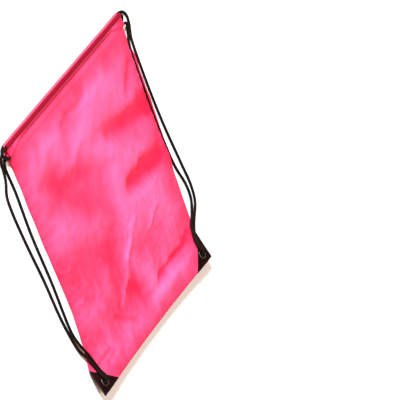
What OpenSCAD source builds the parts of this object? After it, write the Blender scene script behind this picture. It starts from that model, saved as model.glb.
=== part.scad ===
// Drawstring bag lying on its back: two cloth panels, a cord channel along each side of the
// mouth, two cords that run through both channels, and an eyelet in each bottom corner.
// X runs across the bag, +Y towards the mouth, +Z up from the surface the bag lies on.

/* [Bag] */
// Width of the bag, side seam to side seam
bag_w = 340; // [330:2:350]
// Height of the bag, bottom edge to mouth edge
bag_h = 420; // [410:2:430]
// Thickness of one layer of cloth
cloth_t = 0.4; // [0.3:0.05:0.4]
// Free space between the two panels where the bag is fullest
fullness = 7.3; // [6.5:0.1:8]

/* [Cord channels] */
// Height of a channel, from its seam to the mouth edge
channel_h = 25; // [24:0.5:27]
// Diameter of the cords
cord_d = 4; // [3.6:0.1:4]

/* [Bottom corners] */
// Width of the strip along the bottom edge that the knots lift off the surface
flap_len = 50; // [49:0.5:52]
// Angle of that strip to the surface
flap_tilt = 17; // [17:0.5:20]
// Length of the two short sides of a corner patch
patch_leg = 44; // [40:1:46]
// Thickness of a corner patch
patch_t = 0.6; // [0.4:0.1:0.6]
// Distance from an eyelet's centre to the side and to the bottom edge
eyelet_in = 14; // [13:0.5:15]
// Outer diameter of an eyelet's flange
eyelet_d = 16; // [14:0.5:17]
// Diameter of a knot
knot_d = 14; // [12:0.5:14]

/* [Hidden] */
$fn = 48;
pink = [1.0, 0.35, 0.58];
deep_pink = [0.93, 0.22, 0.45];
black = [0.07, 0.06, 0.06];
patch_black = [0.13, 0.10, 0.10];
gunmetal = [0.28, 0.27, 0.28];

half_w = bag_w / 2;
half_h = bag_h / 2;
gap = 0.3;                               // clearance between the moving panel and its surround
seam_t = 0.5;                            // thickness of a folded seam allowance
seam_w = 8;                              // its width
thread = 0.3;                            // height of a line of stitches
thread_w = 0.6;                          // its width
border = 30;                             // width of the sloping border round the front panel
crease_y = -half_h + flap_len * cos(flap_tilt);  // where the bottom strip starts to rise
seam_z = cloth_t + seam_t;               // underside of the front cloth at the seams
front_z = cloth_t + fullness;            // underside of the front panel
front_mid = front_z + cloth_t / 2;       // middle of the front panel's cloth
channel_y = half_h - channel_h;          // seam of a channel
channel_t = cord_d + 0.2 + 2 * cloth_t;  // thickness of a channel over both its walls
hinge_y = crease_y + border - 2;         // fold line at the foot of the moving panel
plate_x = half_w - border - gap;         // half the width of the moving panel
sheet_end = channel_y - 0.1;             // where the front panel meets its channel
back_end = channel_y - 5;                // where the back panel meets its channel
patch_inset = 0.3;                       // from a patch's edges to the cloth's
eyelet_x = half_w - eyelet_in;
eyelet_s = flap_len - eyelet_in;         // the eyelet's distance from the crease, along the strip
front_n = seam_z + cloth_t;              // top of the front cloth on the bottom strip
patch_n = front_n + patch_t;             // top of a front patch
barrel_r = 4.7;                          // an eyelet's barrel, outside
bore_r = 4.3;                            // and inside
flange_t = 0.9;
washer_t = 0.6;
lip_n = -patch_t - washer_t - 0.6;       // bottom of the eyelet's rolled lip
neck_r = 4.1;                            // the two cords squeezed together in the eyelet
neck_n = patch_n + flange_t + 0.2;       // where they come apart above it
knot_h = 8.4;                            // height of a knot
knot_n = lip_n - knot_h / 2;             // its middle

// Rows of the cords in the channels, as distances down from the mouth edge: apart at the ends of a
// channel, and side by side along its middle
row_high = 4;
row_low = 20;
middle_low = row_high + cord_d + 0.6;
join_x = half_w - 32;                    // where the low row has come up beside the high one
function row_y(row, x) =
    let (share = max(0, min(1, (half_w - abs(x)) / (half_w - join_x))))
    half_h - row + (row == row_low ? row_low - middle_low : 0) * share;
back_z = channel_t / 2;                  // middle of the back channel
floor_z = cord_d / 2 + 0.1;              // middle of a cord lying on the surface
strand_x = cord_d / 2 + 0.05;            // half the spacing of two cords side by side

// Routes of the straps, from the channel to the bottom strip. Each point is the distance out from
// the side seam, the height along the bag and the height above the surface.
left_outer = [[1, half_h - row_high, front_mid], [11, 205, 8.3], [16, 197, 5.6], [14.5, 182, 2.4],
    [18, 164, floor_z], [27, 147, floor_z], [29, 122, floor_z], [26, 70, floor_z], [19, 0, floor_z],
    [14, -75, floor_z], [3, -133, 2.9], [-4, -148, 5]];
left_inner = [[0, half_h - row_low, back_z], [6, 187.5, 2.3], [8.5, 181, floor_z], [7, 140, floor_z],
    [8.5, 70, floor_z], [5, -15, floor_z], [4, -100, floor_z], [-2, -128, 4.2], [-8, -144, 5.4]];
right_outer = [[1, half_h - row_high, back_z], [10, 205, 2.2], [19, 200, floor_z], [23.5, 190, floor_z],
    [22, 177, floor_z], [16, 160, floor_z], [14, 105, floor_z], [17, 20, floor_z],
    [26, -65, floor_z], [30, -103, floor_z], [26, -130, floor_z], [9, -150, 2.3], [-3, -163, 4.3]];
right_inner = [[1, half_h - row_low, front_mid], [9, 188, 7], [14, 181, 4.2], [13, 170, floor_z],
    [6, 154, floor_z], [3.5, 100, floor_z], [4, 5, floor_z], [9, -55, floor_z],
    [19, -95, floor_z], [19, -120, floor_z], [8, -140, 2.6], [-7, -152, 5.3]];
// Over the bottom strip to the eyelet. Each point is the distance along the strip from its crease
// and the height above its underside.
to_eyelet = [[20, 4.6], [28, 7.4], [34, 7], [eyelet_s, neck_n]];

// ---- Helpers ----

// A box from one corner to the opposite one
module span(low, high) {
    translate(low) cube(high - low);
}

// Places its children on the raised bottom strip: x across, -y along the strip, z off its underside
module on_flap() {
    translate([0, crease_y, 0]) rotate([-flap_tilt, 0, 0]) children();
}

module at_eyelet(side) {
    on_flap() translate([side * eyelet_x, -eyelet_s, 0]) children();
}

module eyelet_holes() {
    for (side = [-1, 1])
        at_eyelet(side) translate([0, 0, -10]) cylinder(r = barrel_r + 0.1, h = 20);
}

// A point of the bottom strip in the bag's own frame
function flap_point(x, s, n) =
    [x, crease_y - s * cos(flap_tilt) + n * sin(flap_tilt), s * sin(flap_tilt) + n * cos(flap_tilt)];

// Sweeps an eight-sided tube along a list of points, its end faces square to the first and last
// directions
sides = 8;
function unit(v) = v / norm(v);
function heading(p, i, first, last) =
    i == 0 ? first :
    i == len(p) - 1 ? last :
    unit(unit(p[i + 1] - p[i]) + unit(p[i] - p[i - 1]));
function across(p, i, first, last) =
    let (t = heading(p, i, first, last),
         v = i == 0 ? cross(t, abs(t[2]) > 0.7 ? [0, 1, 0] : [0, 0, 1]) : across(p, i - 1, first, last))
    unit(v - t * (v * t));
function ring(p, i, first, last) =
    let (u = across(p, i, first, last), w = cross(heading(p, i, first, last), u))
    [for (k = [0 : sides - 1])
        p[i] + cord_d / 2 * (cos(360 * k / sides) * u + sin(360 * k / sides) * w)];

module tube(p, first, last) {
    n = len(p);
    points = [for (i = [0 : n - 1]) each ring(p, i, first, last)];
    walls = [for (i = [0 : n - 2], k = [0 : sides - 1])
        let (a = i * sides + k, b = i * sides + (k + 1) % sides)
        each [[a, a + sides, b], [b, a + sides, b + sides]]];
    start_face = [for (k = [0 : sides - 1]) k];
    end_face = [for (k = [sides - 1 : -1 : 0]) (n - 1) * sides + k];
    polyhedron(points, concat(walls, [start_face, end_face]), convexity = 10);
}

function reversed(p) = [for (i = [len(p) - 1 : -1 : 0]) p[i]];

// One strand of a strap, from the channel at its side to the eyelet
function strand(route, side, lane) = concat(
    [for (q = route) [side * (half_w + q[0]), q[1], q[2]]],
    [for (q = to_eyelet) flap_point(side * (eyelet_x + lane * strand_x), q[0], q[1])]);

// The half turn of a cord from one channel to the other, at the far mouth of both
function half_turn(side, from_row, to_row, from_z, to_z) =
    let (r = (to_row - from_row) / 2)
    [for (a = [0 : 45 : 180])
        [side * (half_w + abs(r) * sin(a)), half_h - (from_row + to_row) / 2 + r * cos(a),
         from_z + (to_z - from_z) * a / 180]];

into_eyelet = [0, -sin(flap_tilt), -cos(flap_tilt)];
run_end = half_w - border + gap;         // where the fixed part of a cord leaves the moving channel

// ---- Cloth ----

module back_panel() {
    color(pink) difference() {
        union() {
            span([-half_w, crease_y, 0], [half_w, back_end, cloth_t]);
            on_flap() span([-half_w, -flap_len, 0], [half_w, 0, cloth_t]);
        }
        eyelet_holes();
    }
}

// The back channel: the panel's top edge turned over and stitched down
module back_hem() {
    mid = channel_t / 2;
    top_y = half_h - mid;
    foot_y = channel_y + mid;
    inner = channel_t - cloth_t;
    color(deep_pink) translate([-half_w, 0, 0]) rotate([90, 0, 90]) linear_extrude(bag_w)
        difference() {
            union() {
                polygon([[back_end, 0], [top_y, 0], [top_y, channel_t], [foot_y, channel_t],
                    [channel_y - 1, 2 * cloth_t], [back_end, 2 * cloth_t]]);
                translate([top_y, mid]) circle(mid);
            }
            polygon([[channel_y - 0.5, cloth_t], [top_y, cloth_t], [top_y, inner], [foot_y, inner]]);
            translate([top_y, mid]) circle(mid - cloth_t);
        }
}

// The front channel: a flat tube of cloth round two cords
module hem_tube(x_low, x_high) {
    mid = channel_t / 2;
    module outline(r) {
        translate([channel_y + mid, front_mid - r]) square([channel_h - 2 * mid, 2 * r]);
        for (y = [channel_y + mid, half_h - mid])
            translate([y, front_mid]) circle(r);
    }
    color(deep_pink) translate([x_low, 0, 0]) rotate([90, 0, 90]) linear_extrude(x_high - x_low)
        difference() {
            outline(mid);
            outline(mid - cloth_t);
        }
}

// The sloping cloth round three sides of the front panel, and the front layer of the bottom strip
module front_border() {
    module mound(extra) {
        hull() {
            span([-half_w, crease_y, seam_z], [half_w, channel_y - 1.2 + extra, seam_z + cloth_t]);
            span([-half_w + border, hinge_y, front_z + cloth_t - 0.01],
                [half_w - border, channel_y - 1.2 + extra, front_z + cloth_t]);
        }
    }
    color(pink) difference() {
        union() {
            difference() {
                mound(0);
                translate([0, 0, -cloth_t]) mound(10);
            }
            on_flap() span([-half_w, -flap_len, seam_z], [half_w, 0, front_n]);
        }
        span([-half_w + border, hinge_y, 0], [half_w - border, half_h, front_z + 5]);
        eyelet_holes();
    }
}

module front_panel() {
    color(pink)
        span([-plate_x, hinge_y + gap, front_z], [plate_x, sheet_end, front_z + cloth_t]);
}

// ---- Seams and stitches ----

module side_allowance(side) {
    color(deep_pink) intersection() {
        union() {
            span([-half_w, crease_y, cloth_t], [half_w, back_end - 0.1, seam_z]);
            on_flap() span([-half_w, -flap_len + seam_w, cloth_t], [half_w, 0, seam_z]);
        }
        translate([side * (half_w - seam_w / 2) - seam_w / 2, -half_h, -1]) cube([seam_w, bag_h, 60]);
    }
}

module bottom_allowance() {
    color(deep_pink) on_flap()
        span([-half_w, -flap_len, cloth_t], [half_w, -flap_len + seam_w, seam_z]);
}

module hem_thread(x, y, z) {
    color(deep_pink) span([-x, y, z], [x, y + thread_w, z + thread]);
}

// A few close stitches that hold the front channel's end down on the back channel's
module bartack(side) {
    color(deep_pink) translate([side * (half_w - 6) - 3, channel_y + 3, channel_t])
        cube([6, 2, front_mid - 1.5 * channel_t]);
}

// ---- Bottom corners ----

module corner_triangle(side, leg, inset) {
    polygon([[side * (half_w - inset), -flap_len + inset],
        [side * (half_w - leg), -flap_len + inset],
        [side * (half_w - inset), -flap_len + leg]]);
}

module patch(side, n) {
    color(patch_black) difference() {
        on_flap() translate([0, 0, n]) linear_extrude(patch_t) corner_triangle(side, patch_leg, patch_inset);
        eyelet_holes();
    }
}

module patch_thread(side) {
    color(black) on_flap() translate([0, 0, patch_n]) linear_extrude(thread) difference() {
        corner_triangle(side, patch_leg - 5, 2);
        corner_triangle(side, patch_leg - 5 - 2.5 * thread_w, 2 + thread_w);
    }
}

module eyelet(side) {
    r = eyelet_d / 2;
    top = patch_n + flange_t;
    color(gunmetal) at_eyelet(side) rotate_extrude() polygon([
        [bore_r, lip_n], [barrel_r + 0.9, lip_n], [barrel_r + 0.9, lip_n + 0.5], [barrel_r, lip_n + 0.6],
        [barrel_r, patch_n], [r, patch_n], [r, top - 0.5], [r - 0.6, top - 0.15], [r - 1.6, top],
        [bore_r + 0.8, top - 0.1], [bore_r, top - 0.6]]);
}

module washer(side) {
    color(gunmetal) at_eyelet(side) rotate_extrude()
        translate([barrel_r + 0.1, -patch_t - washer_t]) square([2.8, washer_t]);
}

// The knot that the cord's two ends share, with the stretch of cord that fills the eyelet
module knot(side) {
    color(black) at_eyelet(side) union() {
        rotate_extrude() polygon([for (a = [-90 : 15 : 90])
            [knot_d / 2 * cos(a), knot_n + knot_h / 2 * sin(a)]]);
        translate([0, 0, knot_n]) cylinder(r = neck_r, h = neck_n - knot_n);
    }
}

// ---- Cords ----

// From the front channel down one side to the eyelet
module cord_strap(side, route, lane, row) {
    color(black) tube(concat([[side * run_end, row_y(row, run_end), front_mid]],
        strand(route, side, lane)), [side, 0, 0], into_eyelet);
}

// The half turn at the far mouth, back through the back channel and down to the same eyelet
module cord_return(side, route, lane, from_row, to_row) {
    color(black) tube(concat([[-side * run_end, row_y(from_row, run_end), front_mid]],
        half_turn(-side, from_row, to_row, front_mid, back_z),
        [for (x = [-join_x, join_x]) [side * x, row_y(to_row, join_x), back_z]],
        strand(route, side, lane)), [-side, 0, 0], into_eyelet);
}

module front_run(row) {
    color(black) tube([for (x = [-plate_x, -join_x, join_x, plate_x]) [x, row_y(row, x), front_mid]],
        [1, 0, 0], [1, 0, 0]);
}

back_panel();
back_hem();
front_border();
hem_tube(-half_w, -half_w + border);  // front_hem_left_end
hem_tube(half_w - border, half_w);  // front_hem_right_end
side_allowance(-1);  // left_seam_allowance
side_allowance(1);  // right_seam_allowance
bottom_allowance();  // bottom_seam_allowance
patch(-1, front_n);  // front_left_patch
patch(1, front_n);  // front_right_patch
patch(-1, -patch_t);  // back_left_patch
patch(1, -patch_t);  // back_right_patch
eyelet(-1);  // left_eyelet
eyelet(1);  // right_eyelet
washer(-1);  // left_washer
washer(1);  // right_washer
hem_thread(half_w - 1, channel_y - 3, 2 * cloth_t);  // back_hem_thread
patch_thread(-1);  // left_patch_thread
patch_thread(1);  // right_patch_thread
bartack(-1);  // left_bartack
bartack(1);  // right_bartack
cord_strap(-1, left_outer, 1, row_high);  // left_cord_strap
cord_return(-1, left_inner, -1, row_high, row_low);  // left_cord_return
cord_strap(1, right_inner, -1, row_low);  // right_cord_strap
cord_return(1, right_outer, 1, row_low, row_high);  // right_cord_return
knot(-1);  // left_knot
knot(1);  // right_knot
front_panel();
hem_tube(-plate_x, plate_x);  // front_hem
hem_thread(plate_x - 0.5, channel_y - 2, front_z + cloth_t);  // front_hem_thread
front_run(row_high);  // left_cord_front_run
front_run(row_low);  // right_cord_front_run
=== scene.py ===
import math

import bpy
import numpy as np
from mathutils import Matrix, Vector, noise


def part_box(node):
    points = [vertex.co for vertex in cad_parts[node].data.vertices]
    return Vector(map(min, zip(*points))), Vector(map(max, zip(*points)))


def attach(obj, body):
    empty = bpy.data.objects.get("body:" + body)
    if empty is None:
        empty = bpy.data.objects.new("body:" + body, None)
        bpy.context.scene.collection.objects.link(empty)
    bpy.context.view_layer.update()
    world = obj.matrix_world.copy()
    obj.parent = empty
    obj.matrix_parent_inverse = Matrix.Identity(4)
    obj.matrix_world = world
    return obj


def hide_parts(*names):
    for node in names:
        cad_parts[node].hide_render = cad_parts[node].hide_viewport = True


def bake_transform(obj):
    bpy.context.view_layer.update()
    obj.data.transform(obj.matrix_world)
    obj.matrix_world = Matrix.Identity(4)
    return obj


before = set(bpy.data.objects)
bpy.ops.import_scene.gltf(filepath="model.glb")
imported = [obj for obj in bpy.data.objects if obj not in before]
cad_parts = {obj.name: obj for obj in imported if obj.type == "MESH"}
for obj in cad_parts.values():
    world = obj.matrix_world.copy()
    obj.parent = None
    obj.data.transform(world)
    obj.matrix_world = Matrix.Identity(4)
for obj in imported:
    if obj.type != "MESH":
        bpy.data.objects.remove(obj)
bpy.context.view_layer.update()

# ---- Sizes, from the frame ----
# X runs across the bag, +Y towards the mouth, +Z up from the surface it lies on, all in metres.

mm = 0.001
half_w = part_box("back_panel")[1].x
half_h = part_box("back_hem")[1].y
channel_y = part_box("front_hem")[0].y
front_mid = (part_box("front_hem")[0].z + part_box("front_hem")[1].z) / 2
back_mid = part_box("back_hem")[1].z / 2

cloth_t = 0.25 * mm
cord_r = 2.0 * mm
strand_x = cord_r + 0.05 * mm
cord_sides = 14
braid_rise = 0.09 * mm
flap_len = 50 * mm
flap_tilt = math.radians(17)
crease_y = -half_h + flap_len * math.cos(flap_tilt)
eyelet_x = half_w - 14 * mm
eyelet_s = flap_len - 14 * mm
patch_leg = 44 * mm
patch_t = 0.6 * mm
knot_n = -6 * mm
row_high, row_low = 4 * mm, 20 * mm
middle_low = row_high + 2 * cord_r + 0.6 * mm
join_x = half_w - 32 * mm
fold_r = 2.4 * mm
fold_gap = 0.16 * mm
turned_edge = 0.8 * mm


def smooth(low, high, value):
    t = np.clip((value - low) / (high - low), 0, 1)
    return t * t * (3 - 2 * t)


def row_y(row, x):
    """Height along the bag of a row of cord in a channel; the rows lie side by side in the middle."""
    share = np.clip((half_w - abs(x)) / (half_w - join_x), 0, 1)
    return half_h - row + (row_low - middle_low if row == row_low else 0) * share


def flap_point(x, s, n, tilt=flap_tilt):
    """A point of the raised bottom strip: s along it from its crease, n off its underside."""
    y = crease_y - s * math.cos(tilt) + n * math.sin(tilt)
    return [x, y, s * math.sin(tilt) + n * math.cos(tilt)]


# ---- Camera, floor and lights ----

elevation = math.radians(32)
turn = math.radians(-34.3)
aim = Vector((211 * mm, -138.3 * mm, 0))
distance = 5.62
ahead = Vector((math.cos(turn), math.sin(turn), 0))
aside = Vector((-math.sin(turn), math.cos(turn), 0))
rise = Vector((0, 0, 1))


def place_camera():
    """A long lens far off to one side of the bag, which foreshortens it."""
    data = bpy.data.cameras.new("camera")
    data.sensor_width = 36
    data.lens = 345
    data.clip_end = 50
    camera = bpy.data.objects.new("camera", data)
    bpy.context.scene.collection.objects.link(camera)
    forward = ahead * math.cos(elevation) - rise * math.sin(elevation)
    right = ahead * math.sin(elevation) + rise * math.cos(elevation)
    camera.matrix_world = Matrix.Translation(aim - forward * distance) @ Matrix(
        (right, aside, -forward)
    ).transposed().to_4x4()
    bpy.context.scene.camera = camera


def area_light(name, bearing, height, reach, size, energy, colour):
    """A soft light; bearing is measured in the plane of the floor from straight ahead of the camera."""
    data = bpy.data.lights.new(name, "AREA")
    data.shape = "DISK"
    data.size = size
    data.energy = energy
    data.color = colour
    light = bpy.data.objects.new(name, data)
    bpy.context.scene.collection.objects.link(light)
    level = ahead * math.cos(bearing) + aside * math.sin(bearing)
    way = level * math.cos(height) + rise * math.sin(height)
    light.location = way * reach
    light.rotation_euler = way.to_track_quat("Z", "Y").to_euler()


def light_scene():
    area_light("key", math.radians(146), math.radians(25), 6, 1.1, 860, (0.78, 0.96, 1))
    area_light("top", math.radians(100), math.radians(75), 6, 4, 150, (0.78, 0.96, 1))
    world = bpy.data.worlds.new("studio")
    world.use_nodes = True
    background = world.node_tree.nodes["Background"]
    background.inputs["Color"].default_value = (1, 0.60, 0.43, 1)
    background.inputs["Strength"].default_value = 0.6
    bpy.context.scene.world = world
    bpy.context.scene.view_settings.view_transform = "Standard"


def lay_floor(material):
    size = 6.0
    mesh = bpy.data.meshes.new("floor")
    corners = [(-size, -size, 0), (size, -size, 0), (size, size, 0), (-size, size, 0)]
    mesh.from_pydata(corners, [], [(0, 1, 2, 3)])
    mesh.materials.append(material)
    floor = bpy.data.objects.new("floor", mesh)
    bpy.context.scene.collection.objects.link(floor)


# ---- Materials ----


class Finish:
    """A material and the few kinds of node that its pattern is made of."""

    def __init__(self, name, **values):
        self.material = bpy.data.materials.new(name)
        self.material.use_nodes = True
        self.tree = self.material.node_tree
        self.shader = self.tree.nodes["Principled BSDF"]
        for socket, value in values.items():
            self.shader.inputs[socket.replace("_", " ")].default_value = value

    def add(self, kind, **settings):
        node = self.tree.nodes.new(kind)
        for key, value in settings.items():
            setattr(node, key, value)
        return node

    def link(self, source, target):
        self.tree.links.new(source, target)

    def set(self, socket, source):
        self.link(source, self.shader.inputs[socket])

    def sized(self, source, scale):
        node = self.add("ShaderNodeMapping")
        node.inputs["Scale"].default_value = scale
        self.link(source, node.inputs["Vector"])
        return node.outputs["Vector"]

    def noise(self, source, scale, detail=2.0, rough=0.5):
        node = self.add("ShaderNodeTexNoise")
        node.inputs["Scale"].default_value = scale
        node.inputs["Detail"].default_value = detail
        node.inputs["Roughness"].default_value = rough
        self.link(source, node.inputs["Vector"])
        return node.outputs["Fac"]

    def math(self, operation, a, b=None):
        node = self.add("ShaderNodeMath", operation=operation)
        for socket, value in zip(node.inputs, (a, b)):
            if isinstance(value, (int, float)):
                socket.default_value = value
            elif value is not None:
                self.link(value, socket)
        return node.outputs["Value"]

    def mix(self, share, a, b):
        node = self.add("ShaderNodeMix", data_type="RGBA")
        colours = [s for s in node.inputs if s.type == "RGBA"]
        for socket, value in zip([node.inputs["Factor"], *colours], (share, a, b)):
            if hasattr(value, "is_output"):
                self.link(value, socket)
            else:
                socket.default_value = value
        return next(s for s in node.outputs if s.type == "RGBA")

    def range(self, source, low, high, to_low=0.0, to_high=1.0):
        node = self.add("ShaderNodeMapRange")
        node.inputs["From Min"].default_value = low
        node.inputs["From Max"].default_value = high
        node.inputs["To Min"].default_value = to_low
        node.inputs["To Max"].default_value = to_high
        self.link(source, node.inputs["Value"])
        return node.outputs["Result"]

    def attribute(self, name):
        return self.add("ShaderNodeAttribute", attribute_name=name).outputs["Fac"]

    def uv(self, name="Lay"):
        return self.add("ShaderNodeUVMap", uv_map=name).outputs["UV"]

    def place(self):
        return self.add("ShaderNodeTexCoord").outputs["Object"]

    def bump(self, height, depth, strength=1.0):
        node = self.add("ShaderNodeBump")
        node.inputs["Strength"].default_value = strength
        node.inputs["Distance"].default_value = depth
        self.link(height, node.inputs["Height"])
        self.set("Normal", node.outputs["Normal"])

    def plain_weave(self, source, pitch):
        """Threads that pass over and under each other, at that spacing."""
        parts = self.add("ShaderNodeSeparateXYZ")
        self.link(source, parts.inputs["Vector"])
        waves = [
            self.math("SINE", self.math("MULTIPLY", parts.outputs[axis], math.pi / pitch))
            for axis in ("X", "Y")
        ]
        return self.math("MULTIPLY", *waves)


# Cloth colours. The first two are painted shade and painted highlight, mixed by how far the front stands off
# the back.
painted_shade_pink = (0.92, 0.010, 0.050, 1)
painted_highlight_pink = (0.95, 0.100, 0.27, 1)
# Dark crimson where a black cord shows through the thin cloth, with painted shade of the channel and painted
# shade on the mouth's fold.
cord_and_fold_shade_crimson = (0.21, 0.001, 0.010, 1)
# Painted light and shade on the mouth's rim: pale and greyish where light passes through the thin edge, and
# shaded.
rim_light_and_shade_pink = (0.34, 0.11, 0.17, 1)
seam_pink = (0.85, 0.08, 0.22, 1)


def bag_cloth(name, low_colour, high_colour):
    """Thin plain-weave polyester. Its colour carries painted shade and painted highlight: redder where the
    front lies low, pinker where it stands up, painted light and shade on the rim, and dark where a cord shows
    through, with painted shade on the fold."""
    finish = Finish(
        name,
        Sheen_Weight=0.05,
        Sheen_Roughness=0.4,
        Sheen_Tint=(1.0, 0.45, 0.85, 1),
        Specular_Tint=(1.0, 0.5, 0.85, 1),
    )
    finish.shader.inputs["Specular IOR Level"].default_value = 0.18
    lay = finish.uv()
    cloudy = finish.noise(lay, 14, 3, 0.6)
    slubs = finish.noise(finish.sized(lay, (900, 60, 1)), 1.0, 2, 0.6)
    # The attribute paints shade and highlight by how far the front stands up; the noise adds random tone.
    loft_and_painted_shade = finish.math("ADD", finish.attribute("loft_and_painted_shade"), finish.range(cloudy, 0.3, 0.7, -0.14, 0.14))
    loft_and_painted_shade = finish.math("ADD", loft_and_painted_shade, finish.range(slubs, 0.3, 0.7, -0.05, 0.05))
    colour = finish.mix(finish.range(loft_and_painted_shade, 0, 1), low_colour, high_colour)
    # Painted light and shade on the back channel's rim.
    colour = finish.mix(finish.attribute("rim"), colour, rim_light_and_shade_pink)
    # Dark where a cord shows through, with painted shade on the channel and on the mouth's fold.
    colour = finish.mix(finish.attribute("over_cord_and_fold_shade"), colour, cord_and_fold_shade_crimson)
    finish.set("Base Color", colour)
    finish.set("Roughness", finish.range(slubs, 0.2, 0.8, 0.50, 0.62))
    weave = finish.plain_weave(lay, 0.34 * mm)
    creases = finish.noise(lay, 110, 4, 0.62)
    fine = finish.math("MULTIPLY", finish.math("ADD", weave, slubs), 0.015)
    finish.bump(finish.math("ADD", fine, finish.math("MULTIPLY", creases, 0.8)), 1 * mm)
    return finish.material


def cord_braid():
    finish = Finish("cord_black", Roughness=0.85)
    finish.shader.inputs["Specular IOR Level"].default_value = 0.1
    lay = finish.uv()
    yarn = finish.noise(finish.sized(lay, (900, 900, 1)), 1.0, 2, 0.6)
    colour = finish.mix(finish.range(yarn, 0.3, 0.75), (0.003, 0.0012, 0.001, 1), (0.013, 0.0045, 0.004, 1))
    dusty = finish.range(finish.noise(finish.place(), 60, 2), 0.5, 0.8, 0, 0.5)
    colour = finish.mix(dusty, colour, (0.020, 0.009, 0.007, 1))
    finish.set("Base Color", colour)
    finish.bump(yarn, 0.08 * mm, 0.6)
    return finish.material


def patch_leather():
    finish = Finish("patch_black", Specular_Tint=(1.0, 0.6, 0.6, 1))
    finish.shader.inputs["Specular IOR Level"].default_value = 0.05
    place = finish.place()
    cells = finish.add("ShaderNodeTexVoronoi", feature="DISTANCE_TO_EDGE")
    cells.inputs["Scale"].default_value = 900
    finish.link(place, cells.inputs["Vector"])
    grain = finish.range(cells.outputs["Distance"], 0, 0.25)
    worn = finish.range(finish.noise(place, 45, 3), 0.45, 0.75)
    colour = finish.mix(worn, (0.006, 0.001, 0.0013, 1), (0.014, 0.0025, 0.003, 1))
    colour = finish.mix(finish.attribute("edge_wear"), colour, (0.030, 0.010, 0.010, 1))
    finish.set("Base Color", colour)
    finish.set("Roughness", finish.range(worn, 0, 1, 0.45, 0.65))
    finish.bump(grain, 0.06 * mm, 0.5)
    return finish.material


def plated_metal():
    finish = Finish("eyelet_metal", Metallic=1.0, Roughness=0.28)
    place = finish.place()
    scuffs = finish.noise(finish.sized(place, (300, 2500, 300)), 1.0, 3, 0.7)
    patina = finish.noise(place, 220, 3)
    dull, bright = (0.045, 0.040, 0.042, 1), (0.10, 0.09, 0.09, 1)
    finish.set("Base Color", finish.mix(finish.range(patina, 0.35, 0.7), dull, bright))
    finish.set("Roughness", finish.range(scuffs, 0.3, 0.7, 0.20, 0.42))
    finish.bump(scuffs, 0.02 * mm, 0.4)
    return finish.material


def sewing_thread(name, dark, light):
    finish = Finish(name, Roughness=0.6)
    finish.shader.inputs["Specular IOR Level"].default_value = 0.15
    ply = finish.noise(finish.sized(finish.place(), (2500, 900, 2500)), 1.0, 2)
    finish.set("Base Color", finish.mix(finish.range(ply, 0.3, 0.7), dark, light))
    finish.bump(ply, 0.04 * mm, 0.6)
    return finish.material


def floor_white():
    finish = Finish("floor_white", Roughness=0.85)
    speckle = finish.noise(finish.place(), 300, 2)
    greyer, whiter = (0.93, 0.93, 0.93, 1), (0.96, 0.96, 0.96, 1)
    finish.set("Base Color", finish.mix(finish.range(speckle, 0.3, 0.7), greyer, whiter))
    return finish.material


# ---- Meshes ----


def build(name, points, faces, material, uv=None, fields=None, shade=True):
    """A mesh object in place, with a map of how its surface lies and a number per point for each field."""
    mesh = bpy.data.meshes.new(name)
    mesh.from_pydata([tuple(p) for p in points], [], faces)
    mesh.materials.append(material)
    if uv is not None:
        layer = mesh.uv_layers.new(name="Lay")
        corners = np.zeros(len(mesh.loops), int)
        mesh.loops.foreach_get("vertex_index", corners)
        layer.data.foreach_set("uv", np.asarray(uv, np.float32)[corners].ravel())
    for key, values in (fields or {}).items():
        mesh.attributes.new(key, "FLOAT", "POINT").data.foreach_set("value", np.asarray(values, np.float32))
    if shade:
        mesh.polygons.foreach_set("use_smooth", np.ones(len(mesh.polygons), bool))
    mesh.update()
    obj = bpy.data.objects.new(name, mesh)
    bpy.context.scene.collection.objects.link(obj)
    return obj


def unit(v):
    return v / np.maximum(np.linalg.norm(v, axis=-1, keepdims=True), 1e-12)


def thick_cloth(name, grid, thickness, material, lay, fields):
    """A closed sheet of that thickness on both sides of a grid of points, rows first."""
    rows, columns = grid.shape[:2]
    normal = unit(np.cross(np.gradient(grid, axis=1), np.gradient(grid, axis=0)))
    half = normal * thickness / 2
    points = np.concatenate([(grid + half).reshape(-1, 3), (grid - half).reshape(-1, 3)])
    index = np.arange(rows * columns).reshape(rows, columns)
    a, b, c, d = index[:-1, :-1], index[:-1, 1:], index[1:, 1:], index[1:, :-1]
    under = rows * columns
    top = np.stack([a, b, c, d], -1).reshape(-1, 4)
    low = np.stack([d, c, b, a], -1).reshape(-1, 4) + under
    rim = np.concatenate([index[0, :], index[1:, -1], index[-1, -2::-1], index[-2:0:-1, 0]])
    after = np.roll(rim, -1)
    wall = np.stack([after, rim, rim + under, after + under], -1)
    faces = np.concatenate([top, low, wall]).tolist()
    both = {key: np.tile(value.ravel(), 2) for key, value in fields.items()}
    return build(name, points, faces, material, np.tile(lay.reshape(-1, 2), (2, 1)), both)


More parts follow.
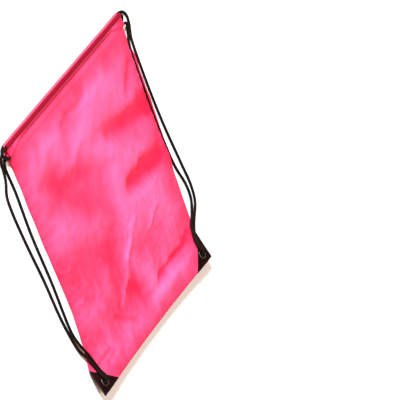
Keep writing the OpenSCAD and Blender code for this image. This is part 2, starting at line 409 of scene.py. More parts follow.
def spline(points, spacing):
    """A smooth line through the points, cut into even steps."""
    p = np.asarray(points, float)
    knots = np.concatenate([[0], np.cumsum(np.sqrt(np.linalg.norm(np.diff(p, axis=0), axis=1)))])
    ends = np.concatenate([[2 * p[0] - p[1]], p, [2 * p[-1] - p[-2]]])
    times = np.concatenate([[2 * knots[0] - knots[1]], knots, [2 * knots[-1] - knots[-2]]])
    fine = []
    for i in range(1, len(ends) - 2):
        t = np.linspace(times[i], times[i + 1], 40, endpoint=False)[:, None]
        t0, t1, t2, t3 = times[i - 1 : i + 3]
        a1 = ends[i - 1] + (ends[i] - ends[i - 1]) * (t - t0) / (t1 - t0)
        a2 = ends[i] + (ends[i + 1] - ends[i]) * (t - t1) / (t2 - t1)
        a3 = ends[i + 1] + (ends[i + 2] - ends[i + 1]) * (t - t2) / (t3 - t2)
        b1 = a1 + (a2 - a1) * (t - t0) / (t2 - t0)
        b2 = a2 + (a3 - a2) * (t - t1) / (t3 - t1)
        fine.append(b1 + (b2 - b1) * (t - t1) / (t2 - t1))
    line = np.concatenate([*fine, p[-1:]])
    along = np.concatenate([[0], np.cumsum(np.linalg.norm(np.diff(line, axis=0), axis=1))])
    steps = np.linspace(0, along[-1], max(2, round(along[-1] / spacing)) + 1)
    return np.stack([np.interp(steps, along, line[:, k]) for k in range(3)], -1), along[-1]


def tube(name, path, radius, sides, material, braid=0.0, taper=None):
    """A closed round tube along a path. A braid raises crossing yarns on it by that height."""
    heading = unit(np.gradient(path, axis=0))
    frames = []
    across = np.cross(heading[0], [0.0, 0.0, 1.0] if abs(heading[0][2]) < 0.9 else [0.0, 1.0, 0.0])
    for t in heading:
        across = across - t * (across @ t)
        across = across / np.linalg.norm(across)
        frames.append((across, np.cross(t, across)))
    side = np.array([f[0] for f in frames])
    over = np.array([f[1] for f in frames])
    along = np.concatenate([[0], np.cumsum(np.linalg.norm(np.diff(path, axis=0), axis=1))])
    angle = np.linspace(0, 2 * math.pi, sides, endpoint=False)
    carriers = 4
    pitch = carriers / radius
    round_it, down_it = carriers * angle[None], pitch * along[:, None]
    yarns = np.cos(round_it + down_it) * np.cos(round_it - down_it)
    reach = radius + braid * yarns
    if taper is not None:
        reach = reach * taper(along, along[-1])[:, None]
    ring = np.cos(angle)[None, :, None] * side[:, None] + np.sin(angle)[None, :, None] * over[:, None]
    points = (path[:, None] + ring * reach[..., None]).reshape(-1, 3)
    index = np.arange(len(path) * sides).reshape(len(path), sides)
    nxt = np.roll(index, -1, axis=1)
    walls = np.stack([index[:-1], nxt[:-1], nxt[1:], index[1:]], -1).reshape(-1, 4).tolist()
    caps = [index[0][::-1].tolist(), index[-1].tolist()]
    lay = np.stack(np.broadcast_arrays(angle[None] * radius, along[:, None]), -1).reshape(-1, 2)
    return build(name, points, walls + caps, material, lay)


def set_share(obj):
    """Bakes a finished piece's placement into its points."""
    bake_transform(obj)


def share_by_place(obj):
    set_share(obj)


# ---- Cords ----
# Each route goes from a channel's end down beside the bag. A point is the distance out from the
# side seam, the height along the bag and the height above the surface.

left_outer = [[1, 206, 7.9], [11, 205, 8.3], [16, 197, 5.6], [14.5, 182, 2.4], [18, 164, 2.1],
    [27, 147, 2.1], [29, 122, 2.1], [26, 70, 2.1], [19, 0, 2.1], [14, -75, 2.1], [3, -133, 2.9],
    [-4, -148, 5]]
left_inner = [[0, 190, 2.5], [6, 187.5, 2.3], [8.5, 181, 2.1], [7, 140, 2.1], [8.5, 70, 2.1],
    [5, -15, 2.1], [4, -100, 2.1], [-2, -128, 4.2], [-8, -144, 5.4]]
right_outer = [[1, 206, 2.5], [10, 205, 2.2], [19, 200, 2.1], [23.5, 190, 2.1], [22, 177, 2.1],
    [16, 160, 2.1], [14, 105, 2.1], [17, 20, 2.1], [26, -65, 2.1], [30, -103, 2.1], [26, -130, 2.1],
    [9, -150, 2.3], [-3, -163, 4.3]]
right_inner = [[1, 190, 7.9], [9, 188, 7], [14, 181, 4.2], [13, 170, 2.1], [6, 154, 2.1],
    [3.5, 100, 2.1], [4, 5, 2.1], [9, -55, 2.1], [19, -95, 2.1], [19, -120, 2.1], [8, -140, 2.6],
    [-7, -152, 5.3]]
# Over the bottom strip: the distance along it from its crease and the height above its underside.
to_eyelet = [[20, 4.6], [28, 7.4], [34, 7], [36, 3.0], [36.2, 0], [36.2, -2.6]]


def strand(route, side, lane):
    beside = [[side * (half_w + out * mm), y * mm, z * mm] for out, y, z in route]
    x = side * (eyelet_x + lane * strand_x)
    return beside + [flap_point(x, s * mm, n * mm) for s, n in to_eyelet]


def half_turn(side, from_row, to_row):
    """Out of the front channel and back into the back one."""
    r = (to_row - from_row) / 2
    return [
        [side * (half_w + abs(r) * math.sin(a)), half_h - (from_row + to_row) / 2 + r * math.cos(a),
            front_mid + (back_mid - front_mid) * a / math.pi]
        for a in np.linspace(0, math.pi, 5)
    ]


def cord_route(side, strap, back, strap_lane, from_row, to_row):
    """One cord from its eyelet through the front channel, round the far end of both channels,
    through the back channel and down to the same eyelet."""
    near_end = [half_w - inwards * mm for inwards in (5, 15, 25, 32, 39, 50, 90)]
    places = [*near_end, 0, *(-x for x in near_end[::-1])]
    front = [[side * x, row_y(from_row, x), front_mid] for x in places]
    rear = [[side * x, row_y(to_row, x), back_mid] for x in places[::-1]]
    return (
        strand(strap, side, strap_lane)[::-1] + front
        + half_turn(-side, from_row, to_row) + rear + strand(back, side, -strap_lane)
    )


def knot_path(side):
    """An overhand knot under the corner; the tails that run off from it along the surface are laid by
    tail_path.
    """
    wide, deep = 1.65, 2.1
    turns = [
        (wide * (math.sin(t) + 2 * math.sin(2 * t)), wide * (math.cos(t) - 2 * math.cos(2 * t)),
            -deep * math.sin(3 * t))
        for t in np.linspace(0.35, 2 * math.pi - 0.25, 26)
    ]
    points = [flap_point(side * (eyelet_x + a * mm), eyelet_s + b * mm, knot_n + c * mm) for a, b, c in turns]
    return [flap_point(side * eyelet_x, eyelet_s, 1 * mm)] + points


def tail_path(side, spread):
    start = Vector(flap_point(side * (eyelet_x + 1.5 * spread * mm), eyelet_s - 3 * mm, knot_n - 0.8 * mm))
    steps = [(-1, 4, 3.2), (-4, 9, 2.2), (-9, 15, 2.1), (-15, 21, 2.1)]
    return [list(start)] + [
        [start.x + side * (a + spread * b * 0.45) * mm, start.y + b * mm, z * mm] for a, b, z in steps
    ]


def blunt_ends(along, total):
    """A cord's sealed end, rounded over its last millimetre."""
    left = np.minimum(along, total - along)
    return np.sqrt(np.clip(1 - (1 - np.clip(left / (1.2 * mm), 0, 1)) ** 2, 0.05, 1))


def make_cord(side, strap, back, strap_lane, rows, material):
    name = "left" if side < 0 else "right"
    path, length = spline(cord_route(side, strap, back, strap_lane, *rows), 0.9 * mm)
    on_floor = path[:, 1] > crease_y
    path[:, 2] = np.where(on_floor, np.maximum(path[:, 2], cord_r + 0.05 * mm), path[:, 2])
    cord = tube(f"{name}_cord", path, cord_r, cord_sides, material, braid=braid_rise)
    set_share(cord)
    knot = make_knot(side, name, material)
    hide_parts(f"{name}_cord_strap", f"{name}_cord_return", f"{name}_cord_front_run")
    return round(length, 3)


def make_knot(side, name, material):
    pieces = []
    line, _ = spline(knot_path(side), 0.8 * mm)
    pieces.append(tube(f"{name}_knot_tied", line, 1.85 * mm, cord_sides, material, braid=braid_rise))
    for k, spread in enumerate((-1, 1)):
        tail, _ = spline(tail_path(side, spread), 0.8 * mm)
        pieces.append(tube(
            f"{name}_tail_{k}", tail, 1.9 * mm, cord_sides, material, braid=braid_rise, taper=blunt_ends
        ))
    bpy.context.view_layer.objects.active = pieces[0]
    with bpy.context.temp_override(active_object=pieces[0], selected_editable_objects=pieces):
        bpy.ops.object.join()
    knot = pieces[0]
    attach(knot, "bag_back")
    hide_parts(f"{name}_knot")
    return knot


# ---- Cloth ----

settled = {}

# The side edges, as the height along the bag and the distance in from the straight seam, in mm
left_edge = [(-212, -1), (-185, 0.3), (-168, 1), (-150, 7), (-120, 11), (-70, 14), (-19, 12), (33, 9.5),
    (111, 7.5), (148, 7), (168, 4.5), (185, 1.5), (200, 0), (212, -0.5)]
right_edge = [(-212, 0.3), (-185, 0), (-165, -0.5), (-139, -2), (-62, -4), (34, -6), (110, -6.5), (144, -6),
    (165, -4), (185, -1), (200, 0), (212, 0.3)]

# Swells, folds and dips of the front, each a soft bar between two points: x, y, x, y, width, height
front_relief = [
    (30, 150, 110, 120, 34, 2.6), (-110, 178, -20, 172, 30, 1.8), (-150, 150, -150, 40, 30, 2.4),
    (-140, -100, -120, -170, 26, 1.6), (-90, 150, -30, 112, 32, 3.2), (-110, 20, -40, -10, 34, 2.6),
    (130, -90, 60, -60, 24, 0.6), (-60, -95, -90, -120, 26, 1.8), (40, 40, -30, 40, 30, 1.5),
    (54, 83, 166, 61, 16, -6), (60, -8, 146, -14, 17, -8), (160, 135, 128, 108, 8, -3.4),
    (23, 165, -41, 158, 7, -1.6), (-146, 127, -96, 96, 14, -1.4), (-96, 96, -37, 72, 14, -1.4),
    (-37, 72, 15, 49, 14, -1.8), (0, -150, -14, -134, 14, -5), (-150, 186, -132, 190, 6, -2.2),
    (33, -50, -3, -92, 5, 2.2), (-3, -92, -47, -143, 5, 2.0), (94, -67, 65, -89, 5, 1.8),
    (0, -172, 60, -163, 8, -2.2), (50, -164, 150, -158, 6, -4.6), (30, -186, 150, -184, 9, 3),
    (-147, -172, -119, -177, 4, -2.4), (-128, -186, -108, -184, 4, -1.8), (-150, -15, -128, -22, 3, 1.2),
    (-150, -40, -134, -52, 3, 1.0), (-151, -75, -128, -80, 3.5, 1.2), (-73, -148, -36, -184, 5, -1.8),
    (-60, -190, -46, -166, 4, 1.0), (120, 165, 150, 176, 4, 1.0), (150, 100, 166, 84, 4, 0.9),
]


def edge_inset(table, y):
    """A smooth line through the points of a side edge."""
    line, _ = spline([[a, b, 0] for a, b in table], 2)
    return np.interp(y / mm, line[:, 0], line[:, 1]) * mm


def edge_ripple(y, seed):
    return np.array([noise.noise((v / (24 * mm), seed, 0.0)) for v in y]) * 1.1 * mm


def columns_across():
    """Shares of the width, close together near the side seams."""
    fine = np.linspace(0, 0.09, 15)
    coarse = np.linspace(0.09, 0.91, 138)
    return np.concatenate([fine[:-1], coarse, 1 - fine[-2::-1]])


def bend_of_foot():
    """Turn, height and reach of the back panel's middle line over the crease at the foot."""
    bend = 14 * mm
    t = np.linspace(bend, -flap_len - 2 * mm, 800)
    turn_share = np.clip((bend - t) / (2 * bend), 0, 1)
    step = np.abs(np.gradient(t))
    level = np.cumsum(np.sin(flap_tilt * turn_share) * step)
    reach = crease_y + bend - np.cumsum(np.cos(flap_tilt * turn_share) * step)
    return t[::-1], turn_share[::-1], level[::-1], reach[::-1]


foot_table = bend_of_foot()


def on_bag(x, t, n):
    """A point n above the back panel's underside; t is measured along the bag from the crease at
    its foot, and the foot hangs a little between the two corners that hold it up."""
    at, turn_share, level, reach = foot_table
    held = 1 - 0.28 * np.clip(1 - (x / eyelet_x) ** 2, 0, 1)
    bent = t < at[-1]
    tilt = np.where(bent, np.interp(t, at, turn_share), 0) * flap_tilt * held
    y = np.where(bent, np.interp(t, at, reach), crease_y + t) + n * np.sin(tilt)
    z = np.where(bent, np.interp(t, at, level), 0) * held + n * np.cos(tilt)
    return np.stack([x, y, z], -1)


def bars(x, y, table):
    """The heights of all the soft bars in the table, added up."""
    total = np.zeros_like(x)
    x, y = x + 6 * mm * crumple(x, y, 26 * mm, 6.1), y + 6 * mm * crumple(x, y, 26 * mm, 2.6)
    for x0, y0, x1, y1, width, height in table:
        a, b = np.array([x0, y0]) * mm, np.array([x1, y1]) * mm
        along = np.clip(((x - a[0]) * (b - a)[0] + (y - a[1]) * (b - a)[1]) / ((b - a) @ (b - a)), 0, 1)
        gap2 = (x - a[0] - along * (b - a)[0]) ** 2 + (y - a[1] - along * (b - a)[1]) ** 2
        total += height * mm * np.exp(-gap2 / (width * mm) ** 2)
    return total


def crumple(x, y, size, seed):
    """Even, soft noise with lumps of that size, from -1 to 1."""
    flat = [noise.noise((a / size, b / size, seed)) for a, b in zip(x.ravel(), y.ravel())]
    return np.array(flat).reshape(x.shape)


def cord_hump(away):
    """Height of taut cloth over a cord, at that distance from its middle line."""
    return (cord_r + cloth_t + 0.1 * mm) * np.exp(-((away / (3.2 * mm)) ** 2))


def side_by_side(a, b):
    return (a**4 + b**4) ** 0.25


def side_edges(t):
    y = crease_y + t
    left = -half_w + edge_inset(left_edge, y) + edge_ripple(y, 3.7)
    right = half_w - edge_inset(right_edge, y) + edge_ripple(y, 9.1)
    return left, right


def panel_grid():
    """Places across and along the panels, from the bottom edge to the channels' seams."""
    share = columns_across()
    t = np.linspace(-flap_len, channel_y - crease_y, 190)
    left, right = side_edges(t)
    x = left[:, None] + share[None] * (right - left)[:, None]
    return x, np.broadcast_to(t[:, None], x.shape)


def seam_level(t):
    """Height of the side seam: near the surface, and up between the two channels at the mouth."""
    y = crease_y + t
    return 0.75 * mm + 3.4 * mm * smooth(150 * mm, 180 * mm, y)


def over_strand(x, y):
    """Height that the cord under the right edge gives both panels."""
    route, _ = spline([[q[1], q[0], 0] for q in right_inner[4:8]], 2)
    away = x - (half_w + np.interp(y / mm, route[:, 0], route[:, 1]) * mm)
    length = smooth(-62 * mm, -40 * mm, y) * (1 - smooth(140 * mm, 156 * mm, y))
    return length * (2 * cord_r + 0.3 * mm) * np.exp(-((np.minimum(away, 0) / (5.5 * mm)) ** 2))


def back_level(x, t, in_side):
    """Middle of the back panel's cloth above the surface."""
    y = crease_y + t
    flat = 0.25 * mm + 0.5 * mm * (0.5 + 0.5 * crumple(x, y, 32 * mm, 4.2)) * smooth(0, 20 * mm, in_side)
    near_seam = np.exp(-((in_side / (5 * mm)) ** 2))
    level = flat * (1 - near_seam) + (seam_level(t) - cloth_t / 2) * near_seam
    return level + over_strand(x, y) * smooth(-0.02, 0.0, x)


def front_loft(x, t, in_side):
    """How far the front stands off the back, and the share of painted shade and painted highlight that its
    colour takes, which fades less at the seams.
    """
    y = crease_y + t
    in_foot = np.maximum(t + flap_len, 0)
    side = 1 - np.exp(-((in_side / (20 * mm)) ** 1.2))
    foot = 1 - np.exp(-((in_foot / (14 * mm)) ** 1.3))
    corner = smooth(30 * mm, 75 * mm, np.hypot(half_w - np.abs(x), in_foot * 1.2))
    puff = 4.6 * mm + bars(x, y, front_relief) + 1.5 * mm * crumple(x, y, 46 * mm, 1.3)
    puff = puff + 0.7 * mm * crumple(x * 1.6, y, 19 * mm, 7.7)
    puff = puff + 0.35 * mm * (0.5 - np.abs(crumple(x * 1.5, y * 0.8, 15 * mm, 3.9))) * 2
    low_share = 1 - smooth(-90 * mm, 60 * mm, y)
    puff = puff + 1.3 * mm * crumple(x * 2.4, y * 0.55, 22 * mm, 12.6) * low_share
    puff = puff + 0.7 * mm * (0.5 - np.abs(crumple(x * 1.3, y, 12 * mm, 21.4)) * 2) * low_share
    if settled:
        left, right = side_edges(t.ravel())
        share = (x - left.reshape(x.shape)) / (right - left).reshape(x.shape)
        puff = puff + between(settled["share"], settled["t"], settled["move"], share, t)
    puff = np.log1p(np.exp(puff / (1.2 * mm))) * 1.2 * mm
    pucker = np.sin(y / (2.7 * mm) + 2.5 * crumple(x * 0, y, 30 * mm, 5.0)) * 0.32 * mm
    pucker = pucker * np.exp(-((in_side / (13 * mm)) ** 2)) * smooth(0, 4 * mm, in_side)
    hold = side * foot * (0.25 + 0.75 * corner)
    return puff * hold + pucker * corner, puff * (0.5 + 0.5 * hold) + pucker * corner


def channel_profile(x, y, mid_z, seam_z):
    """The middle and half the thickness of a channel, which is open round its two cords."""
    high = cord_hump(y - row_y(row_high, x))
    low = cord_hump(y - row_y(row_low, x))
    end = np.sqrt(np.clip(1 - (np.clip(y - (half_h - fold_r), 0, fold_r) / fold_r) ** 2, 0, 1))
    half = side_by_side(side_by_side(high, low), 0.45 * mm + 0 * y)
    half = half * end * smooth(channel_y - 1 * mm, channel_y + 3.5 * mm, y) + fold_gap
    mid = seam_z + (mid_z - seam_z) * smooth(channel_y - 1 * mm, channel_y + 5 * mm, y)
    return mid, half


def channel_rows():
    """Heights along the bag of a channel's rows: over its outside, round the fold and back inside."""
    up = np.linspace(channel_y, half_h - fold_r, 22)[1:]
    fold = half_h - fold_r + fold_r * np.sin(np.linspace(0, math.pi / 2, 6))[1:]
    there = np.concatenate([up, fold])
    sides = np.concatenate([np.ones(len(there)), -np.ones(len(there))])
    return np.concatenate([there, there[::-1]]), sides


def levels(x, t):
    """Heights of both panels at places on them, and the share of painted shade and painted highlight on the
    front there.
    """
    left, right = side_edges(t.ravel())
    in_side = np.maximum(np.minimum(x - left.reshape(x.shape), right.reshape(x.shape) - x), 0)
    back = back_level(x, t, in_side)
    loft_and_painted_shade, painted_shade_share = front_loft(x, t, in_side)
    to_channel = smooth(150 * mm, channel_y - 2 * mm, crease_y + t)
    near_seam = np.exp(-((in_side / (6 * mm)) ** 2))
    top_seam = (front_mid - 0.3 * mm) * (1 - near_seam) + (seam_level(t) + 1.2 * mm) * near_seam
    front = back + 0.5 * mm + loft_and_painted_shade
    front = front * (1 - to_channel) + top_seam * to_channel
    return back, front, painted_shade_share * (1 - 0.35 * to_channel)


def between(columns, rows, values, across, along):
    """Values of an even grid read at places between its points."""
    i = np.clip((across - columns[0]) / (columns[1] - columns[0]), 0, len(columns) - 1.001)
    j = np.clip((along - rows[0]) / (rows[1] - rows[0]), 0, len(rows) - 1.001)
    a, b = i.astype(int), j.astype(int)
    u, v = i - a, j - b
    near = values[b, a] * (1 - u) + values[b, a + 1] * u
    return near * (1 - v) + (values[b + 1, a] * (1 - u) + values[b + 1, a + 1] * u) * v


def settle_front(plain):
    """Lets the front, cut a little too long for its seams, buckle softly over the back panel, and
    keeps a part of its rise and fall. There is next to no gravity in it. It is worked out ten
    times as large, because the solver's least distances are for big cloth."""
    rows, columns, large = 92, 76, 10
    spare_cloth, last_frame, kept_part, least_gap = 0.008, 45, 0.6, 0.003
    t = np.linspace(-flap_len, channel_y - crease_y, rows)
    share = np.linspace(0, 1, columns)
    left, right = side_edges(t)
    x = left[:, None] + share[None] * (right - left)[:, None]
    along = np.broadcast_to(t[:, None], x.shape)
    back, front, _ = levels(x, along)
    index = np.arange(rows * columns).reshape(rows, columns)
    quads = np.stack([index[:-1, :-1], index[:-1, 1:], index[1:, 1:], index[1:, :-1]], -1)
    quads = quads.reshape(-1, 4).tolist()
    start = on_bag(x, along, front) * large
    cloth = build("settling_front", start.reshape(-1, 3), quads, plain)
    under = build("settling_back", on_bag(x, along, back).reshape(-1, 3) * large, quads, plain)
    under.modifiers.new("solid", "COLLISION")
    under.collision.thickness_outer = least_gap
    held = cloth.vertex_groups.new(name="held")
    in_side = np.minimum(x - left[:, None], right[:, None] - x)
    in_foot = along - t[0]
    corner = np.hypot(half_w - np.abs(x), in_foot)
    grip = np.maximum.reduce([
        in_side < 5 * mm, in_foot < 4 * mm, t[-1] - along < 7 * mm, corner < 50 * mm
    ])
    held.add(index[grip].tolist(), 1.0, "REPLACE")
    weave = cloth.modifiers.new("weave", "CLOTH").settings
    weave.vertex_group_mass = "held"
    weave.quality = 8
    weave.mass = 0.12
    weave.shrink_min = -spare_cloth
    weave.tension_stiffness = weave.compression_stiffness = 25
    weave.shear_stiffness = 8
    weave.bending_stiffness = 5
    weave.effector_weights.gravity = 0.01
    cloth.modifiers["weave"].collision_settings.distance_min = least_gap
    scene = bpy.context.scene
    for frame_number in range(1, last_frame + 1):
        scene.frame_set(frame_number)
    shape = cloth.evaluated_get(bpy.context.evaluated_depsgraph_get()).data
    end = np.array([v.co for v in shape.vertices]).reshape(start.shape)
    scene.frame_set(1)
    for obj in (cloth, under):
        bpy.data.objects.remove(obj)
    move = (end - start)[..., 2] / large
    settled.update(share=share, t=t, move=kept_part * (move - move.mean()))


def make_panel(name, is_front, material):
    """A panel and its channel, from the bottom edge over the mouth fold to the channel's seam."""
    x, t = panel_grid()
    back, front, loft_and_painted_shade = levels(x, t)
    level = front if is_front else back
    panel = on_bag(x, t, level)

    rows, facing = channel_rows()
    cx = np.broadcast_to(x[-1][None], (len(rows), x.shape[1]))
    cy = np.broadcast_to(rows[:, None], cx.shape)
    mid_z = front_mid if is_front else back_mid
    mid, half = channel_profile(cx, cy, mid_z, level[-1][None])
    channel = np.stack([cx, cy, mid + (half - fold_gap) * facing[:, None]], -1)
    if not is_front:
        channel[..., 2] = mid - (half - fold_gap) * facing[:, None]
    ripple = 0.5 * mm * crumple(cx, cy * 0, 30 * mm, 2.2) * smooth(channel_y, half_h, cy)
    channel[..., 1] += ripple
    grid = np.concatenate([panel, channel])

    step = np.linalg.norm(np.diff(grid, axis=0), axis=2)
    along = np.concatenate([np.zeros((1, grid.shape[1])), np.cumsum(step, axis=0)])
    lay = np.stack([np.concatenate([x, cx]), np.broadcast_to(along.mean(1)[:, None], along.shape)], -1)
    fields = cloth_fields(x, t, loft_and_painted_shade, cx, cy, is_front)
    if not is_front:
        grid = grid[:, ::-1]
        lay = lay[:, ::-1]
        fields = {key: value[:, ::-1] for key, value in fields.items()}
    obj = thick_cloth(name, grid, cloth_t, material, lay, fields)
    length = float(along[-1].mean())
    return obj, (2 * half_w, round(length, 3))


def cloth_fields(x, t, loft_and_painted_shade, cx, cy, is_front):
    """What the cloth's finish reads: painted shade and painted highlight by how far the front stands up, dark
    where it covers a cord with painted shade on the channel and the mouth's fold, and painted light and shade
    on its rim. The back panel carries the front's painted shade and highlight, so it is patterned like the
    front."""
    # Painted shade and highlight share: the higher the front stands, the pinker.
    raised = np.clip(loft_and_painted_shade / (8.6 * mm), 0, 1)
    covered = 0.75 * (over_strand(x, crease_y + t) / (2 * cord_r)) ** 6
    row_1 = cy - row_y(row_high, cx)
    row_2 = cy - row_y(row_low, cx)
    slack = 0.12 + 0.62 * smooth(14 * mm, 60 * mm, half_w - np.abs(cx))
    # The first row's band runs on over the mouth's fold, where it is painted shade and not a cord.
    over = np.maximum(
        np.exp(-((np.minimum(row_1, 0) / (3.5 * mm)) ** 4)), slack * np.exp(-((row_2 / (2.6 * mm)) ** 4))
    )
    rim = 0 * cy
    if not is_front:
        over = 0.15 * over
        # Painted light and shade on the rim of the back channel at the mouth.
        rim = smooth(half_h - 3 * mm, half_h - 1 * mm, cy)
    # The channel's painted shade share, darker towards the side seams.
    channel_shade_share = 0.45 + 0.1 * crumple(cx, cy, 30 * mm, 8.1)
    channel_shade_share = channel_shade_share * (0.2 + 0.8 * smooth(2 * mm, 28 * mm, half_w - np.abs(cx)))
    return {
        "loft_and_painted_shade": np.concatenate([raised, channel_shade_share]),
        "over_cord_and_fold_shade": np.concatenate([covered, over]),
        "rim": np.concatenate([np.zeros_like(x), rim]),
    }


def make_allowance(name, x, t, material):
    """The folded edges of both panels, sewn together inside the bag along one seam."""
    back, front, _ = levels(x, t)
    grid = on_bag(x, t, (back + front) / 2)
    # A fixed share of the painted shade for the seam allowances.
    fields = {"loft_and_painted_shade": 0.3 + 0 * x, "over_cord_and_fold_shade": 0 * x, "rim": 0 * x}
    obj = thick_cloth(name + "_folded", grid, 0.14 * mm, material, np.stack([x, t], -1), fields)
    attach(obj, "bag_back")
    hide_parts(name)


def make_allowances(material):
    edge, wide = 1.2 * mm, 8 * mm
    t = np.linspace(-flap_len + edge, channel_y - crease_y - 4 * mm, 180)
    left, right = side_edges(t)
    inwards = np.linspace(edge, wide, 7)
    along = np.broadcast_to(t[:, None], (len(t), len(inwards)))
    make_allowance("left_seam_allowance", left[:, None] + inwards[None], along, material)
    make_allowance("right_seam_allowance", right[:, None] - inwards[None, ::-1], along, material)
    foot = np.linspace(-flap_len + edge, -flap_len + wide, 7)
    across = np.linspace(-half_w + wide, half_w - wide, 150)
    x, t = np.meshgrid(across, foot)
    make_allowance("bottom_seam_allowance", x, t, material)


# ---- Bottom corners ----


def make_patch(side, face, material):
    """A triangle of imitation leather over a corner; its two short sides are sewn into the seams."""
    steps = 24
    name = f"{'front' if face > 0 else 'back'}_{'left' if side < 0 else 'right'}_patch"
    places = [(i / steps, j / steps) for i in range(steps + 1) for j in range(steps + 1 - i)]
    index = {place: k for k, place in enumerate(places)}
    a, b = np.array(places).T * patch_leg
    inset = -0.5 * mm
    t = -flap_len + inset + b
    x = side_edges(t)[0 if side < 0 else 1] - side * (inset + a)
    back, front, _ = levels(x, t)
    gap = cloth_t / 2 + patch_t / 2 + 0.03 * mm
    middle = front + gap if face > 0 else back - gap
    turned = np.exp(-((np.minimum(a, b) / turned_edge) ** 2))
    middle = middle * (1 - turned) + ((front + back) / 2 + face * patch_t * 0.55) * turned
    swell = 0.12 * mm * crumple(x, t, 9 * mm, 3.3)
    points = on_bag(x, t, middle + swell * face)
    faces = []
    for (i, j) in [(i, j) for i in range(steps) for j in range(steps - i)]:
        p = [index[(u / steps, v / steps)] for u, v in ((i, j), (i + 1, j), (i, j + 1))]
        faces.append(p)
        if i + j < steps - 1:
            faces.append([p[1], index[((i + 1) / steps, (j + 1) / steps)], p[2]])
    if side * face > 0:
        faces = [f[::-1] for f in faces]
    from_edge = np.minimum(np.minimum(a, b), (patch_leg - a - b) / math.sqrt(2))
    worn = {"edge_wear": np.exp(-((from_edge / (0.9 * mm)) ** 2))}
    obj = build(name + "_cut", points, faces, material, fields=worn)
    body = obj.modifiers.new("body", "SOLIDIFY")
    body.thickness = patch_t
    body.offset = 0
    rounded = obj.modifiers.new("rounded", "BEVEL")
    rounded.width = 0.18 * mm
    rounded.segments = 2
    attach(obj, "bag_back")
    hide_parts(name)


def lathe(name, profile, side, material):
    """Turns a closed outline of (radius, height) about an eyelet's axis."""
    steps = 72
    outline = np.array(profile) * mm
    centre = np.array(flap_point(side * eyelet_x, eyelet_s, 0))
    up = np.array([0, math.sin(flap_tilt), math.cos(flap_tilt)])
    along = np.array([0, -math.cos(flap_tilt), math.sin(flap_tilt)])
    angle = np.linspace(0, 2 * math.pi, steps, endpoint=False)
    way = np.cos(angle)[:, None] * np.array([1.0, 0, 0]) + np.sin(angle)[:, None] * along
    points = centre + way[:, None] * outline[None, :, 0, None] + up * outline[None, :, 1, None]
    index = np.arange(steps * len(outline)).reshape(steps, -1)
    nxt, over = np.roll(index, -1, axis=0), np.roll(index, -1, axis=1)
    faces = np.stack([index, over, np.roll(nxt, -1, axis=1), nxt], -1).reshape(-1, 4).tolist()
    obj = build(name + "_pressed", points.reshape(-1, 3), faces, material)
    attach(obj, "bag_back")
    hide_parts(name)


def arc(centre, reach, start, end, steps):
    angles = np.radians(np.linspace(start, end, steps))
    return [(centre[0] + reach[0] * math.cos(a), centre[1] + reach[1] * math.sin(a)) for a in angles]


def make_eyelet(side, material):
    """A domed flange on the front patch, a barrel through the corner and a rolled lip behind the washer."""
    name = "left" if side < 0 else "right"
    dome = arc((6.15, 1.95), (1.85, 0.95), 180, 0, 15)
    under = [(7.9, 1.8), (5.0, 1.8), (4.75, 1.5)]
    lip = arc((5.0, -1.45), (0.62, 0.45), 60, -180, 11)
    lathe(f"{name}_eyelet", dome + under + lip, side, material)
    washer = arc((7.3, -0.9), (0.3, 0.3), 90, -90, 6) + arc((5.1, -0.9), (0.25, 0.3), 270, 90, 6)
    lathe(f"{name}_washer", washer, side, material)


# ---- Stitches ----


def stitch_tree():
    """Lays one grain-shaped stitch at every step of a line."""
    tree = bpy.data.node_groups.new("stitches", "GeometryNodeTree")
    for name, kind, way in (
        ("Line", "NodeSocketGeometry", "INPUT"), ("Pitch", "NodeSocketFloat", "INPUT"),
        ("Stitch length", "NodeSocketFloat", "INPUT"), ("Thread", "NodeSocketFloat", "INPUT"),
        ("Material", "NodeSocketMaterial", "INPUT"), ("Stitches", "NodeSocketGeometry", "OUTPUT"),
    ):
        tree.interface.new_socket(name, in_out=way, socket_type=kind)
    add, link = tree.nodes.new, tree.links.new
    given, made = add("NodeGroupInput"), add("NodeGroupOutput")
    curve, places = add("GeometryNodeMeshToCurve"), add("GeometryNodeCurveToPoints")
    places.mode = "LENGTH"
    grain, sized = add("GeometryNodeMeshUVSphere"), add("GeometryNodeTransform")
    grain.inputs["Segments"].default_value = 8
    grain.inputs["Rings"].default_value = 6
    grain.inputs["Radius"].default_value = 0.5
    scale = add("ShaderNodeCombineXYZ")
    lay, real = add("GeometryNodeInstanceOnPoints"), add("GeometryNodeRealizeInstances")
    soft, finish = add("GeometryNodeSetShadeSmooth"), add("GeometryNodeSetMaterial")
    link(given.outputs["Line"], curve.inputs["Mesh"])
    link(curve.outputs["Curve"], places.inputs["Curve"])
    link(given.outputs["Pitch"], places.inputs["Length"])
    link(given.outputs["Thread"], scale.inputs["X"])
    link(given.outputs["Thread"], scale.inputs["Y"])
    link(given.outputs["Stitch length"], scale.inputs["Z"])
    link(grain.outputs["Mesh"], sized.inputs["Geometry"])
    link(scale.outputs["Vector"], sized.inputs["Scale"])
    link(places.outputs["Points"], lay.inputs["Points"])
    link(places.outputs["Rotation"], lay.inputs["Rotation"])
    link(sized.outputs["Geometry"], lay.inputs["Instance"])
    link(lay.outputs["Instances"], real.inputs["Geometry"])
    link(real.outputs["Geometry"], soft.inputs["Geometry"])
    link(soft.outputs["Geometry"], finish.inputs["Geometry"])
    link(given.outputs["Material"], finish.inputs["Material"])
    link(finish.outputs["Geometry"], made.inputs["Stitches"])
    return tree


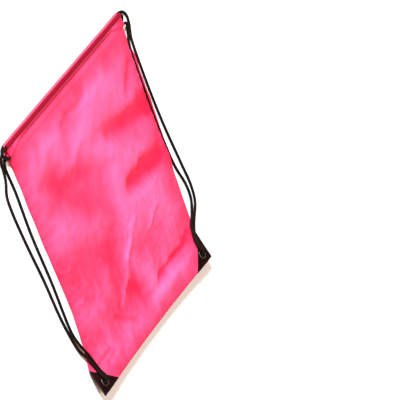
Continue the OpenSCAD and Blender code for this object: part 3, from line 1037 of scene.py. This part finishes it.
def sew(name, lines, pitch, length, thread, material, tree):
    """Rows of stitches along lines of points, as one plain mesh."""
    points = [tuple(p) for line in lines for p in line]
    edges, first = [], 0
    for line in lines:
        edges += [(first + k, first + k + 1) for k in range(len(line) - 1)]
        first += len(line)
    mesh = bpy.data.meshes.new(name + "_line")
    mesh.from_pydata(points, edges, [])
    guide = bpy.data.objects.new(name + "_line", mesh)
    bpy.context.scene.collection.objects.link(guide)
    sewing = guide.modifiers.new("sewing", "NODES")
    sewing.node_group = tree
    values = {"Pitch": pitch, "Stitch length": length, "Thread": thread, "Material": material}
    for item in tree.interface.items_tree:
        if item.in_out == "INPUT" and item.name in values:
            sewing[item.identifier] = values[item.name]
    made = bpy.data.meshes.new_from_object(guide.evaluated_get(bpy.context.evaluated_depsgraph_get()))
    bpy.data.objects.remove(guide)
    obj = bpy.data.objects.new(name + "_sewn", made)
    bpy.context.scene.collection.objects.link(obj)
    return obj


def on_panel(x, t, above, is_front):
    """Points a little above the upper side of the front panel, or of the back one."""
    x, t = np.asarray(x, float), np.asarray(t, float)
    return on_bag(x, t, levels(x, t)[1 if is_front else 0] + cloth_t / 2 + above)


def make_stitches(material, tree):
    pink, black = material["thread_pink"], material["thread_black"]
    across = np.linspace(-half_w + 3 * mm, half_w - 3 * mm, 220)
    seam_t = channel_y - crease_y - 1.2 * mm + 0 * across
    pitch, length, thread, above = 2.9 * mm, 2.5 * mm, 0.32 * mm, 0.02 * mm
    front, back = (
        sew(name, [on_panel(across, seam_t, above, is_front)], pitch, length, thread, pink, tree)
        for name, is_front in (("front_hem_thread", True), ("back_hem_thread", False))
    )
    share_by_place(front)
    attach(back, "bag_back")
    made = {"front_hem_thread": front, "back_hem_thread": back}
    for side, name in ((-1, "left"), (1, "right")):
        made[f"{name}_patch_thread"] = sew_patch(side, f"{name}_patch_thread", black, tree)
        made[f"{name}_bartack"] = sew_bartack(f"{name}_bartack", pink, tree)
    for name, obj in made.items():
        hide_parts(name)


def sew_patch(side, name, material, tree):
    """Two rows along the long side of the front patch and one along each short side."""
    def row(inset, leg):
        near, far = inset, leg - inset
        corners = [(near, near), (far, near), (near, far), (near, near)]
        places = []
        for (a0, b0), (a1, b1) in zip(corners, corners[1:]):
            places += [(a0 + (a1 - a0) * k / 24, b0 + (b1 - b0) * k / 24) for k in range(24)]
        a, b = np.array(places).T
        edge = side_edges(b - flap_len)[0 if side < 0 else 1]
        return on_panel(edge - side * a, b - flap_len, patch_t + 0.06 * mm, True)
    rows = [row(2.2 * mm, patch_leg - 1.2 * mm), row(3.8 * mm, patch_leg - 2.0 * mm)]
    obj = sew(name, rows, 2.4 * mm, 2.0 * mm, 0.34 * mm, material, tree)
    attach(obj, "bag_back")
    return obj


def sew_bartack(name, material, tree):
    """A few close stitches to and fro between the ends of the two channels."""
    low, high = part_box(name)
    turns = 15
    zigzag = [
        (low.x + (high.x - low.x) * k / turns, low.y if k % 2 else high.y, (low.z + high.z) / 2)
        for k in range(turns + 1)
    ]
    obj = sew(name, [zigzag], 0.5 * mm, 0.75 * mm, 0.3 * mm, material, tree)
    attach(obj, "bag_back")
    return obj


# ---- Making it ----

material = {
    "cloth_pink": bag_cloth("cloth_pink", painted_shade_pink, painted_highlight_pink),
    "seam_cloth": bag_cloth("seam_cloth", painted_shade_pink, seam_pink),
    "cord_black": cord_braid(),
    "patch_black": patch_leather(),
    "eyelet_metal": plated_metal(),
    "thread_pink": sewing_thread("thread_pink", (0.55, 0.02, 0.08, 1), (0.85, 0.08, 0.22, 1)),
    "thread_black": sewing_thread("thread_black", (0.003, 0.002, 0.002, 1), (0.012, 0.009, 0.009, 1)),
}
place_camera()
light_scene()
lay_floor(floor_white())

make_cord(-1, left_outer, left_inner, 1, (row_high, row_low), material["cord_black"])
make_cord(1, right_inner, right_outer, -1, (row_low, row_high), material["cord_black"])

settle_front(material["cloth_pink"])
back_cloth, back_flat = make_panel("back_cloth", False, material["cloth_pink"])
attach(back_cloth, "bag_back")
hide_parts("back_panel", "back_hem")

front_cloth, front_flat = make_panel("front_cloth", True, material["cloth_pink"])
share_by_place(front_cloth)
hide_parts("front_panel", "front_border", "front_hem", "front_hem_left_end",
    "front_hem_right_end")

make_allowances(material["seam_cloth"])
for side in (-1, 1):
    make_patch(side, 1, material["patch_black"])
    make_patch(side, -1, material["patch_black"])
    make_eyelet(side, material["eyelet_metal"])
make_stitches(material, stitch_tree())
